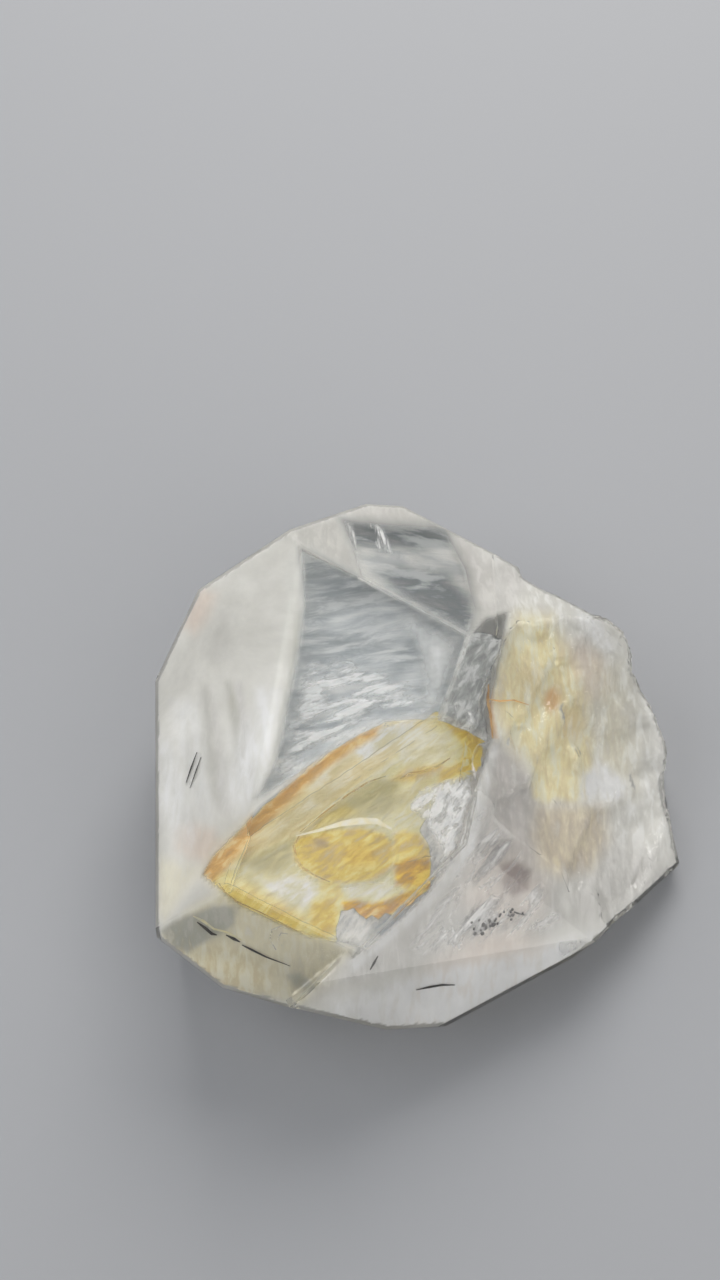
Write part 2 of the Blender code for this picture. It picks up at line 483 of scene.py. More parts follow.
def film_finish(name, tones, cover, scale, stretch=(1, 1), turn=0.0, contrast=1.6, edge=0.0, ragged=0.0,
                relief=0.25, tints=None):
    material = bpy.data.materials.new(name)
    shader = shader_of(material)
    tree = material.node_tree
    vector = add(tree, "ShaderNodeUVMap", uv_map="pattern").outputs[0]
    lie = {"Stretch": (*stretch, 1), "Turn": (0, 0, math.radians(turn)), "Warp": FILM_WARP,
           "Contrast": contrast}
    streaks = streaks_on(tree, vector, Scale=scale, **lie)
    clouds = streaks_on(tree, vector, Scale=scale * CLOUD_SCALE, **lie)
    colour = tone_ramp(tree, streaks, tones)
    if tints:
        colour = tinted(tree, colour, clouds, tints)
    tree.links.new(colour, shader.inputs["Base Color"])
    low, high = cover
    amount = math_node(tree, "MULTIPLY_ADD", clouds, high - low, low)
    if edge:
        torn_edge = add(tree, "ShaderNodeGroup", node_tree=TORN_EDGE, sockets={"Vector": vector}, values={
            "Width": edge, "Raggedness": ragged})
        amount = math_node(tree, "MULTIPLY", amount, torn_edge.outputs[0])
    from_within = add(tree, "ShaderNodeNewGeometry").outputs["Backfacing"]
    near_side = math_node(tree, "SUBTRACT", 1.0, from_within)
    tree.links.new(math_node(tree, "MULTIPLY", amount, near_side, clamp=True), shader.inputs["Alpha"])
    bump = add(tree, "ShaderNodeBump", values={"Strength": relief, "Distance": RELIEF},
               sockets={"Height": streaks})
    tree.links.new(bump.outputs[0], shader.inputs["Normal"])
    shader.inputs["Roughness"].default_value = 0.5
    shader.inputs["Specular IOR Level"].default_value = 0.3
    return material


print("film finish: tones from", RAMP_START, "to", RAMP_END, "of the streaks")


# %% [markdown]
# ## Body
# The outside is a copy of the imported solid. Its loose triangles are joined, and those that lie flat
# beside each other become one face, so that the large faces stay smooth and sharp edged.

# %% Body
FLAT = math.radians(0.4)


def merged_copy(name):
    """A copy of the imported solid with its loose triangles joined."""
    deselect()
    piece = bpy.data.objects.new(name, solid.data.copy())
    bpy.context.scene.collection.objects.link(piece)
    piece.select_set(True)
    bpy.context.view_layer.objects.active = piece
    bpy.ops.object.mode_set(mode="EDIT")
    bpy.ops.mesh.select_all(action="SELECT")
    bpy.ops.mesh.remove_doubles(threshold=MERGE)
    bpy.ops.object.mode_set(mode="OBJECT")
    return piece


body = merged_copy("crystal_body")
bpy.ops.object.mode_set(mode="EDIT")
bpy.ops.mesh.select_all(action="SELECT")
bpy.ops.mesh.dissolve_limited(angle_limit=FLAT)
print("body:", len(body.data.polygons), "faces")

# %% [markdown]
# The broken right side and the small chips are made of small faces, so they are found by their area.
# They keep their ledges and get a finer grain, drawn out upwards as the growth lines of quartz are.

# %% Grain of the broken side
BROKEN_AREA = 2.0 * MM**2
GRAIN_DEPTH = 0.16 * MM
GRAIN_SIZE = Vector((0.45, 0.45, 2.2)) * MM

bpy.ops.mesh.select_mode(type="FACE")
bpy.ops.mesh.select_all(action="DESELECT")
bpy.ops.object.mode_set(mode="OBJECT")
for polygon in body.data.polygons:
    polygon.select = polygon.area < BROKEN_AREA
print("faces on broken sides:", sum(polygon.select for polygon in body.data.polygons))
bpy.ops.object.mode_set(mode="EDIT")
bpy.ops.mesh.subdivide(number_cuts=2)
bpy.ops.object.mode_set(mode="OBJECT")
mesh = body.data
inner = {index: True for polygon in mesh.polygons if polygon.select for index in polygon.vertices}
for polygon in mesh.polygons:
    if not polygon.select:
        for index in polygon.vertices:
            inner[index] = False
broken = mesh.attributes.new("broken", "FLOAT", "POINT")
normals = [point.normal.copy() for point in mesh.vertices]
for index, free in inner.items():
    if free:
        point = mesh.vertices[index]
        place = Vector(value / size for value, size in zip(point.co, GRAIN_SIZE))
        point.co -= normals[index] * GRAIN_DEPTH * (0.5 + noise.noise(place))
        broken.data[index].value = 1.0
print("body with grain:", len(mesh.polygons), "faces")

# %% [markdown]
# Clear quartz is plain glass to Blender: it lets light through and bends it by its index. The flat
# faces are polished with a faint smear, and the broken side is duller and finely furrowed.

# %% Quartz finish
POLISH, SMEAR = 0.02, 0.05
BREAK_ROUGHNESS = 0.16


def quartz_finish():
    material = bpy.data.materials.new("clear_quartz")
    shader = shader_of(material)
    tree = material.node_tree
    place = add(tree, "ShaderNodeTexCoord").outputs["Object"]
    rough_part = add(tree, "ShaderNodeAttribute", attribute_name="broken").outputs["Fac"]
    smear = streaks_on(tree, place, Scale=160.0, Contrast=1.5)
    furrows = streaks_on(tree, place, Scale=500.0, Stretch=(1.0, 1.0, 3.0), Contrast=1.5)
    polish = math_node(tree, "MULTIPLY_ADD", smear, SMEAR, POLISH)
    roughness = math_node(tree, "MULTIPLY_ADD", rough_part, BREAK_ROUGHNESS, polish)
    tree.links.new(roughness, shader.inputs["Roughness"])
    height = math_node(tree, "MULTIPLY", furrows, rough_part)
    bump = add(tree, "ShaderNodeBump", values={"Strength": 0.8, "Distance": 0.2 * MM},
               sockets={"Height": height})
    tree.links.new(bump.outputs[0], shader.inputs["Normal"])
    shader.inputs["Base Color"].default_value = (0.98, 0.98, 0.97, 1)
    shader.inputs["IOR"].default_value = QUARTZ_IOR
    shader.inputs["Transmission Weight"].default_value = 1.0
    return material


dress(body, quartz_finish())
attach(body, "root")
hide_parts("crystal")
print("the body stands in for the packed solid")

# %% [markdown]
# ## Haze under the skin
# Most of the stone is milky: a cloud of tiny bubbles lies close under its faces. The cloud follows
# the skin a little way in. It is left open where the photograph looks into clear quartz. Some of its tints
# are stains where iron or clay got into it, and some are painted light and painted shade. Each tint is a
# soft mask that a procedural pattern breaks up.

# %% Tones of the haze
MILK = [(0.80, 0.79, 0.74), (0.86, 0.85, 0.80), (0.925, 0.915, 0.88)]
HAZE_TONES = {
    "frost": [(0.70, 0.685, 0.64), (0.82, 0.81, 0.765), (0.97, 0.965, 0.94)],
    "grey": [(0.62, 0.605, 0.58), (0.72, 0.705, 0.675), (0.82, 0.805, 0.775)],
    "blush": [(0.88, 0.70, 0.58), (0.92, 0.82, 0.73)],
    "gold": [(0.98, 0.82, 0.40), (0.99, 0.90, 0.56), (0.99, 0.96, 0.76)],
    "brown": [(0.68, 0.52, 0.31), (0.85, 0.75, 0.53)],
    "olive": [(0.84, 0.77, 0.52), (0.90, 0.84, 0.62), (0.94, 0.90, 0.73)],
    # grey marks, and painted reflection and shade in streaks on the left face and beside the ridge
    "ash_and_reflection": [(0.42, 0.42, 0.36), (0.52, 0.52, 0.45), (0.62, 0.61, 0.54)],
    "rust": [(0.78, 0.42, 0.14), (0.88, 0.62, 0.32)],
    # dark: a purple stain, and painted shade on the front right face
    "dark": [(0.34, 0.27, 0.25), (0.52, 0.45, 0.42)],
    "white": [(0.97, 0.97, 0.96), (0.99, 0.99, 0.99)],
}
print("tints of the haze:", *HAZE_TONES)

# %% [markdown]
# Each place is an outline over the photograph with a tint, a strength and a soft border in pixels.
# Where several places of one tint meet, the strongest counts.

# %% Places of the haze
BACK_LEFT = [(286, 537), (303, 525), (338, 521), (348, 545), (364, 580), (330, 563)]
HAZE_PLACES = [
    ("clear", 1.0, 5, [
        (300, 548), (358, 577), (416, 608), (469, 637), (450, 692), (440, 717), (380, 722), (338, 745),
        (302, 772), (256, 800), (276, 760), (299, 645), (304, 604)]),
    ("clear", 1.0, 4, [
        (469, 637), (485, 620), (506, 614), (503, 636), (495, 678), (489, 707), (491, 739), (440, 717)]),
    ("clear", 1.0, 10, [
        (340, 520), (445, 528), (466, 570), (476, 610), (469, 637), (416, 608), (360, 578), (350, 548)]),
    ("clear", 1.0, 3, [
        (203, 875), (213, 857), (230, 840), (247, 823), (262, 806), (338, 745), (380, 722), (440, 717),
        (491, 739), (459, 849), (426, 895), (366, 949), (301, 933), (240, 905)]),
    ("clear", 0.15, 9, [
        (162, 924), (203, 884), (240, 902), (303, 933), (352, 950), (302, 990), (250, 966), (195, 955)]),
    ("olive", 0.95, 8, [
        (190, 910), (228, 888), (300, 926), (352, 950), (300, 1003), (240, 990), (180, 955), (160, 935)]),
    ("ash_and_reflection", 0.95, 4, [
        (162, 930), (174, 920), (196, 912), (214, 906), (238, 905), (234, 924), (220, 934), (200, 944),
        (188, 952), (172, 946)]),
    ("ash_and_reflection", 0.9, 4, [(288, 974), (300, 972), (315, 984), (310, 990), (296, 988)]),
    ("gold", 0.95, 8, [(184, 956), (206, 950), (250, 958), (266, 974), (256, 986), (224, 982), (196, 970)]),
    ("brown", 1.0, 9, [(168, 944), (206, 940), (252, 948), (278, 966), (268, 990), (224, 988), (188, 972)]),
    ("gold", 0.7, 6, [(176, 950), (216, 974), (262, 990), (250, 996), (210, 982), (176, 960)]),
    ("grey", 1.0, 8, [(306, 936), (352, 950), (345, 975), (306, 1004), (290, 990), (290, 965)]),
    ("ash_and_reflection", 0.35, 6, [(160, 760), (172, 752), (180, 776), (184, 806), (176, 812), (166, 790)]),
    ("white", 0.6, 10, [
        (158, 746), (176, 740), (188, 775), (196, 820), (192, 850), (172, 836), (157, 800)]),
    ("frost", 0.8, 12, [
        (500, 612), (532, 575), (580, 596), (632, 672), (656, 745), (664, 780), (664, 850), (612, 918),
        (575, 915), (548, 860), (531, 770), (493, 738)]),
    # painted reflection: grey streaks on the left face
    ("ash_and_reflection", 0.6, 4, ribbon([(228, 682), (233, 700), (238, 735), (243, 790)], [5, 8, 9, 5])),
    ("ash_and_reflection", 0.4, 6, ribbon([(205, 684), (209, 735), (216, 800)], [8, 10, 8])),
    ("ash_and_reflection", 0.4, 6, ribbon([(184, 716), (188, 745), (192, 775)], [5, 8, 5])),
    # painted shade: a grey line beside the ridge's painted highlight
    ("ash_and_reflection", 0.6, 3, ribbon([(300, 612), (294, 662), (281, 728), (270, 766)], [4, 5, 6, 4])),
    ("grey", 0.6, 6, [(202, 690), (214, 688), (222, 740), (234, 812), (222, 816), (208, 760)]),
    ("grey", 0.8, 4, [(236, 684), (242, 683), (252, 740), (255, 800), (248, 803), (242, 740)]),
    ("white", 0.9, 8, [(258, 690), (280, 690), (270, 760), (257, 796), (258, 750)]),
    ("white", 0.8, 16, [(236, 740), (270, 700), (276, 740), (256, 800), (238, 812), (226, 790)]),
    ("white", 0.5, 12, [(172, 700), (200, 700), (206, 760), (214, 820), (196, 826), (180, 760)]),
    ("grey", 0.9, 9, [
        (491, 740), (531, 768), (546, 820), (563, 887), (566, 923), (540, 942), (430, 966), (330, 985),
        (300, 1008), (366, 949), (426, 895), (459, 849)]),
    # painted light: the foot of the front faces is lighter where light comes back up from below
    ("white", 1.0, 12, [
        (330, 1000), (430, 972), (540, 948), (590, 936), (565, 963), (489, 1014), (391, 1036), (330, 1022)]),
    ("grey", 0.8, 12, [(305, 523), (358, 502), (402, 504), (458, 535), (440, 528), (350, 520)]),
    ("grey", 0.95, 10, BACK_LEFT),
    ("grey", 0.95, 12, [(450, 534), (523, 570), (531, 579), (509, 610), (487, 618), (468, 590)]),
    ("grey", 0.8, 16, [(562, 860), (610, 840), (655, 850), (665, 875), (610, 915), (566, 925)]),
    ("ash_and_reflection", 0.25, 10, BACK_LEFT),
    # painted light at the foot of the front faces
    ("white", 0.6, 18, [(440, 985), (470, 965), (520, 958), (520, 990), (489, 1005), (450, 1010)]),
    ("blush", 0.75, 10, [(190, 606), (203, 588), (216, 596), (208, 618), (196, 634), (184, 626)]),
    ("blush", 0.7, 9, [(178, 828), (196, 824), (214, 830), (222, 846), (206, 862), (190, 858), (178, 848)]),
    ("blush", 0.55, 20, [
        (440, 960), (480, 935), (520, 930), (545, 950), (524, 985), (489, 1004), (440, 1020), (380, 1022)]),
    ("blush", 0.35, 18, [(476, 850), (520, 850), (545, 880), (540, 920), (490, 930), (460, 900)]),
    ("blush", 0.6, 12, [(556, 650), (584, 640), (604, 660), (610, 690), (586, 700), (560, 696)]),
    ("gold", 1.0, 16, [
        (500, 650), (520, 618), (548, 620), (566, 650), (588, 700), (592, 750), (580, 780), (545, 780),
        (520, 756), (500, 725), (492, 700)]),
    ("gold", 0.9, 5, [
        (531, 716), (560, 704), (584, 716), (592, 760), (588, 798), (572, 803), (556, 798), (546, 804),
        (532, 798), (529, 760)]),
    ("rust", 0.12, 9, [(520, 672), (532, 660), (542, 668), (538, 690), (524, 694)]),
    ("rust", 0.2, 9, [(560, 716), (574, 706), (584, 724), (578, 742), (562, 736)]),
    ("gold", 0.35, 22, [(590, 660), (618, 670), (632, 730), (628, 790), (604, 800), (592, 740)]),
    ("brown", 0.6, 12, [
        (536, 808), (570, 805), (602, 802), (606, 840), (590, 868), (560, 876), (540, 866), (532, 836)]),
    ("rust", 1.0, 5, [(545, 694), (552, 688), (559, 696), (557, 708), (549, 712), (544, 704)]),
    ("rust", 0.9, 3, [(486, 686), (491, 684), (492, 712), (496, 738), (490, 736), (487, 712)]),
    ("dark", 1.0, 5, [(500, 864), (514, 860), (530, 870), (526, 890), (512, 896), (502, 884)]),
    # painted shade: darker down the upper part of the front right face, beside the step
    ("dark", 0.28, 16, [
        (486, 745), (520, 752), (534, 800), (540, 860), (505, 858), (474, 852), (484, 800)]),
    ("white", 0.9, 4, [
        (482, 742), (497, 746), (474, 850), (434, 902), (372, 956), (352, 972), (348, 962), (364, 943),
        (424, 888), (456, 842)]),
    ("olive", 0.35, 10, [(330, 985), (352, 950), (300, 930), (290, 960), (306, 1004)]),
    ("white", 0.8, 8, [(582, 606), (600, 624), (618, 650), (606, 650), (588, 636), (574, 618)]),
    ("white", 0.9, 8, [(580, 774), (600, 764), (630, 782), (622, 800), (596, 806), (580, 798)]),
    ("olive", 0.5, 10, [(156, 856), (200, 870), (166, 924), (156, 908)]),
]
print("places of the haze:", len(HAZE_PLACES))

# %% [markdown]
# The shell itself is the solid again, rebuilt in even cells so that soft borders have points enough,
# and drawn in under the skin. A face that the camera can't see keeps an even, half clear milk.

# %% Haze under the skin
HAZE_DEPTH = 0.3 * MM
HAZE_CELL = 0.42 * MM
HAZE_GAP = 0.1
FAR_CLEARNESS = 0.45
GRAZING = 0.03


def seen_pixel(point):
    """Where the photograph shows a point that lies in air."""
    near = camera.matrix_world.inverted() @ point
    slope = LENS / SENSOR * PHOTO_SIZE[1]
    return Vector((PHOTO_SIZE[0] / 2 - near.x / near.z * slope, PHOTO_SIZE[1] / 2 + near.y / near.z * slope))


def make_haze():
    haze = merged_copy("haze")
    remesh = haze.modifiers.new("even_cells", "REMESH")
    remesh.mode = "VOXEL"
    remesh.voxel_size = HAZE_CELL
    remesh.use_smooth_shade = True
    even = haze.modifiers.new("even_out", "SMOOTH")
    even.factor = 0.5
    even.iterations = 3
    inward = haze.modifiers.new("inward", "DISPLACE")
    inward.strength = -HAZE_DEPTH
    inward.mid_level = 0
    for modifier in (remesh, even, inward):
        bpy.ops.object.modifier_apply(modifier=modifier.name)
    shares = []
    for point in haze.data.vertices:
        point.co = under_skin(point.co, HAZE_GAP)
        seen = surface.find_nearest(point.co)[1].dot((EYE - point.co).normalized()) > GRAZING
        places = HAZE_PLACES if seen else ()
        shares.append(tint_shares(seen_pixel(point.co), places, ["clear", *HAZE_TONES]))
        if not seen:
            shares[-1]["clear"] = FAR_CLEARNESS
    keep_shares(haze.data, shares)
    return haze


haze = make_haze()
print("haze:", len(haze.data.polygons), "faces")

# %% [markdown]
# The haze is milk with slow clouds, laid over by its tints, and a fine drawn-out grain breaks them
# up. Its cover is thickest in the clouds and nothing where the crystal is clear.

# %% Haze finish
HAZE_COVER, LEAST_COVER = 0.6, 0.5


def haze_finish():
    material = bpy.data.materials.new("haze")
    shader = shader_of(material)
    tree = material.node_tree
    place = add(tree, "ShaderNodeTexCoord").outputs["Object"]
    clouds = streaks_on(tree, place, Scale=70.0, Contrast=1.4)
    fine = streaks_on(tree, place, Scale=800.0, Stretch=(0.7, 2.6, 2.6), Contrast=2.8)
    colour = tinted(tree, tone_ramp(tree, clouds, MILK), fine, HAZE_TONES)
    tree.links.new(colour, shader.inputs["Base Color"])
    clear = add(tree, "ShaderNodeAttribute", attribute_name="clear").outputs["Fac"]
    milky = math_node(tree, "SUBTRACT", 1.0, clear)
    thick = math_node(tree, "MULTIPLY_ADD", clouds, HAZE_COVER, LEAST_COVER)
    tree.links.new(math_node(tree, "MULTIPLY", milky, thick, clamp=True), shader.inputs["Alpha"])
    shader.inputs["Roughness"].default_value = 0.7
    return material


dress(haze, haze_finish())
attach(haze, "root")
print("haze is dressed")

# %% [markdown]
# ## Marks on the milky faces
# A painted highlight, a white line, follows the ridge between the left face and the top face, and rust
# has crept in along the left edge of the broken side. Both are narrow films close under the skin.

# %% Marks on the milky faces
# painted highlight: a white film that stands in for light along an edge
white_highlight = film_finish("white_highlight", [(0.93, 0.93, 0.92), (0.97, 0.97, 0.97)], (0.0, 0.6), scale=8.0,
                          stretch=(0.7, 2.0), edge=1.5, ragged=1.5)
rust = film_finish("rust", [(0.50, 0.26, 0.08), (0.78, 0.50, 0.20)], (0.6, 1.0), scale=10.0)
line_film("ridge_line", [(305, 604), (300, 645), (290, 700), (276, 762)], [2, 3.5, 3, 1.5], TOP, 0.2,
          white_highlight)
line_film("rusty_edge", [(489, 684), (488, 700), (491, 716), (493, 738)], [1, 3, 2.5, 1], RIGHT, 0.2, rust)

# %% [markdown]
# ## Lie of the golden leaf
# Iron stained one healed crack gold. The crack starts at a sharp tip on the left and dips into the
# stone towards the right, where it ends round. The grey film behind it rises to meet its rim.

# %% Lie of the golden leaf
LEAF_TOP = [
    (203, 874), (213, 857), (230, 840), (247, 824), (262, 807), (278, 792), (297, 774), (312, 763),
    (331, 750), (347, 740), (363, 732), (382, 722), (400, 719), (419, 718), (439, 720)]
EDGE_LINE = [(402, 750), (370, 776), (340, 798), (296, 836), (260, 853), (240, 862)]


LEAF_TIP = (203, 874)
LOW_EDGE_SLOPE = 0.6
TIP_DEPTH, DIP, FAR_DIP = 0.9, 2.0, 0.006
WINDOW_DEPTH, WINDOW_GAP, WINDOW_FALL = 5.0, 0.4, 0.05


def leaf_depth(px, py):
    """The leaf dips into the stone from its tip towards the right and away from the low edge."""
    low_edge = max(0.0, (px - LEAF_TIP[0]) * LOW_EDGE_SLOPE - (py - LEAF_TIP[1])) / PATTERN_UNIT
    return TIP_DEPTH + DIP * min(1.0, low_edge) + FAR_DIP * max(0, px - 300)


def behind_leaf(px, py):
    """The grey film lies deep in the stone and comes up to the leaf's rim."""
    away = edge_distance(Vector((px, py)), LEAF_TOP, closed=False)
    return min(WINDOW_DEPTH, leaf_depth(px, py) + WINDOW_GAP + WINDOW_FALL * away)


print("leaf depth at its tip and its round end:", leaf_depth(*LEAF_TIP), leaf_depth(470, 750))

# %% [markdown]
# ## Window
# The top face is clear and shows a grey, streaky film deep inside; its grey is painted shade for the dark
# seen through the clear quartz. Painted light veils it where light comes in from the side, and white wisps
# and pale streaks lie over it. So it is built from a few films, one over the other, each with a finish of
# its own.

# %% Window
# veil: painted light, lighter where light comes in from the side
WINDOW_TINTS = {"veil": [(0.72, 0.77, 0.80), (0.84, 0.88, 0.90), (0.95, 0.97, 0.97)]}
WINDOW_PLACES = [
    ("veil", 0.85, 22, [
        (256, 812), (280, 700), (296, 668), (350, 676), (400, 690), (440, 660), (462, 640), (450, 716),
        (380, 726), (320, 764)]),
    ("veil", 0.7, 9, [
        (388, 600), (416, 612), (467, 637), (452, 656), (410, 640), (370, 628), (330, 626), (340, 612)]),
]
WINDOW = [
    (297, 547), (358, 576), (416, 606), (469, 636), (458, 692), (450, 738), (390, 748), (350, 768),
    (316, 794), (256, 828), (246, 800), (268, 756), (292, 650), (296, 600)]
# painted shade: the grey film stands in for the dark seen through the clear top face, over its real streaks
window_grey = film_finish("window_grey", [(0.43, 0.47, 0.50), (0.58, 0.62, 0.64), (0.82, 0.85, 0.86)],
                          (0.8, 1.0), scale=5.5, stretch=(2.4, 0.55), turn=8, contrast=2.6, edge=1.5,
                          ragged=1, tints=WINDOW_TINTS)
film("window_back", torn(WINDOW, 1), TOP, behind_leaf, window_grey, places=WINDOW_PLACES,
     tints=tuple(WINDOW_TINTS))

# %% Wisps and pale streaks of the window
WISPS = [
    (298, 660), (340, 650), (400, 672), (440, 690), (438, 716), (380, 722), (338, 745), (300, 772),
    (262, 798), (280, 745)]
PALE_RIGHT = [
    (388, 606), (416, 610), (467, 639), (452, 690), (440, 716), (402, 719), (418, 690), (410, 650),
    (396, 626)]
PALE_LOW = [
    (258, 806), (284, 770), (330, 738), (380, 712), (440, 700), (442, 722), (400, 730), (345, 752),
    (300, 786), (262, 815)]
STREAK = ribbon([(326, 560), (328, 580), (330, 608)], [5, 7, 5])
wisps = film_finish("window_wisps", [(0.86, 0.89, 0.90), (0.95, 0.96, 0.97)], (-0.6, 1.5), scale=11.0,
                    stretch=(2.6, 0.6), turn=16, contrast=3.6, edge=12, ragged=8)
film("window_wisps", torn(WISPS, 4), TOP, 3.5, wisps)
pale = film_finish("window_pale", [(0.76, 0.78, 0.78), (0.87, 0.88, 0.88)], (0.75, 1.0), scale=4.0,
                   stretch=(2.0, 0.8), turn=12, contrast=1.8, edge=20, ragged=10)
film("window_pale", torn(PALE_RIGHT, 3), TOP, 2.0, pale)
film("window_streak", torn(STREAK, 1), TOP, 2.4, pale)
film("window_low", torn(PALE_LOW, 4), TOP, 2.6, pale)

# %% [markdown]
# ## Back slope and dark facet
# Part of the back slope is clear as well, with a dark reflection and white smears. Its film is deepest
# away from the top face, so that it isn't seen through that face too. The small dark facet beside it
# is full of crinkles.

# %% Back slope
BACK_TINTS = {"shade": [(0.08, 0.09, 0.10), (0.18, 0.20, 0.21), (0.48, 0.50, 0.50)]}
BACK_PLACES = [
    ("shade", 1.0, 6, [(341, 520), (446, 527), (456, 546), (420, 550), (380, 546), (352, 544)]),
    ("shade", 1.0, 8, [(374, 572), (400, 566), (446, 574), (470, 600), (476, 622), (466, 636), (420, 608)]),
]
BACK_EDGE = [(296, 545), (467, 633)]
BACK_WINDOW = [
    (331, 513), (352, 513), (450, 522), (474, 590), (484, 612), (468, 634), (416, 608), (358, 578),
    (340, 548)]
EDGE_DEPTH, BACK_FALL, BACK_DEPTH = 0.45, 0.045, 2.2


def behind_edge(px, py):
    """The back film starts close under the edge and falls away from it, down to its full depth."""
    away = edge_distance(Vector((px, py)), BACK_EDGE, closed=False)
    return min(BACK_DEPTH, EDGE_DEPTH + BACK_FALL * away)


back_grey = film_finish("back_grey", [(0.56, 0.58, 0.58), (0.68, 0.69, 0.67), (0.78, 0.78, 0.75)],
                        (0.8, 1.0), scale=6.0, stretch=(2.6, 0.6), turn=-10, contrast=2.8, edge=1.5,
                        ragged=1, tints=BACK_TINTS)
film("back_window", torn(BACK_WINDOW, 1), BACK, behind_edge, back_grey, cell=5, places=BACK_PLACES,
     tints=tuple(BACK_TINTS))
smear = film_finish("white_smear", [(0.86, 0.87, 0.86), (0.96, 0.96, 0.95)], (-0.7, 1.5), scale=11.0,
                    stretch=(0.4, 2.6), turn=14, contrast=3.6, edge=4, ragged=3)
for name, points, widths in (
        ("back_smear_left", [(346, 519), (350, 530), (355, 542), (358, 556)], [16, 18, 15, 7]),
        ("back_smear_right", [(370, 519), (375, 531), (381, 543), (390, 557)], [14, 20, 22, 12])):
    line_film(name, points, widths, BACK, 0.6, smear)

# %% Dark facet
DARK_FACET = [
    (466, 635), (484, 628), (503, 636), (502, 650), (496, 680), (491, 708), (492, 743), (436, 720),
    (450, 684)]
GLINTS = [(442, 716), (450, 696), (470, 706), (488, 716), (490, 737)]
dark_crinkle = film_finish("dark_crinkle", [(0.30, 0.31, 0.30), (0.42, 0.43, 0.42), (0.70, 0.71, 0.70)],
                           (0.8, 1.0), scale=9.0, stretch=(0.7, 1.6), turn=-30, contrast=2.6, edge=1.5,
                           ragged=1, relief=0.5)
# white for real flaws, and for painted glints on the dark facet
bright = film_finish("white_flaw_and_glint", [(0.96, 0.96, 0.95), (0.98, 0.98, 0.98)], (-1.4, 1.6), scale=16.0,
                     stretch=(0.7, 1.8), turn=20, contrast=4.0, edge=8, ragged=6)
film("dark_face_film", torn(DARK_FACET, 1), DARK, 1.0, dark_crinkle)
# painted glints: white flecks that stand in for highlights on the crinkles
film("dark_face_glints", torn(GLINTS, 2), DARK, 0.6, bright)

# %% [markdown]
# ## Golden leaf
# The leaf is seen through four faces, and each face bends the view in its own way. So it is made as
# four films that carry on from each other. A pocket and a mass beside it swell up from the sheet.

# %% Swelling of the leaf
POCKET, MASS = ((346, 857), (52, 30), 0.7), ((412, 868), (22, 30), 0.5)
DEEP_IN_TIP = 0.7


def swelling(px, py, bump):
    """How high a dome with this middle, reach and height stands at a pixel, in mm."""
    middle, reach, height = bump
    share = 1 - ((px - middle[0]) / reach[0]) ** 2 - ((py - middle[1]) / reach[1]) ** 2
    return height * math.sqrt(max(0.0, share))


def sheet_depth(px, py):
    return leaf_depth(px, py) - swelling(px, py, POCKET) - swelling(px, py, MASS)


def above_leaf(lift):
    return lambda px, py: sheet_depth(px, py) - lift


print("sheet depth in the pocket:", sheet_depth(*POCKET[0]))

# %% [markdown]
# The rim is rusty and the part under the top face is peach. The part below is straw coloured, with a
# golden pocket, an amber mass, a tongue and a crusty lower edge. All of these are tints of one finish.

# %% Colours of the leaf
LEAF_TINTS = {
    "peach": [(0.88, 0.68, 0.30), (0.93, 0.78, 0.42), (0.96, 0.87, 0.58)],
    "olive": [(0.48, 0.43, 0.20), (0.66, 0.60, 0.33)],
    "bright": [(0.82, 0.81, 0.64), (0.93, 0.92, 0.84), (0.99, 0.99, 0.97)],
    "yellow": [(0.92, 0.71, 0.18), (0.96, 0.83, 0.34), (0.98, 0.91, 0.54)],
    "gold": [(0.76, 0.47, 0.03), (0.88, 0.65, 0.10), (0.95, 0.80, 0.28)],
    "amber": [(0.50, 0.21, 0.0), (0.76, 0.42, 0.0), (0.94, 0.66, 0.06)],
    "rust": [(0.70, 0.33, 0.08), (0.86, 0.53, 0.18), (0.95, 0.74, 0.38)],
    "spot": [(0.38, 0.26, 0.18), (0.58, 0.44, 0.28)],
}
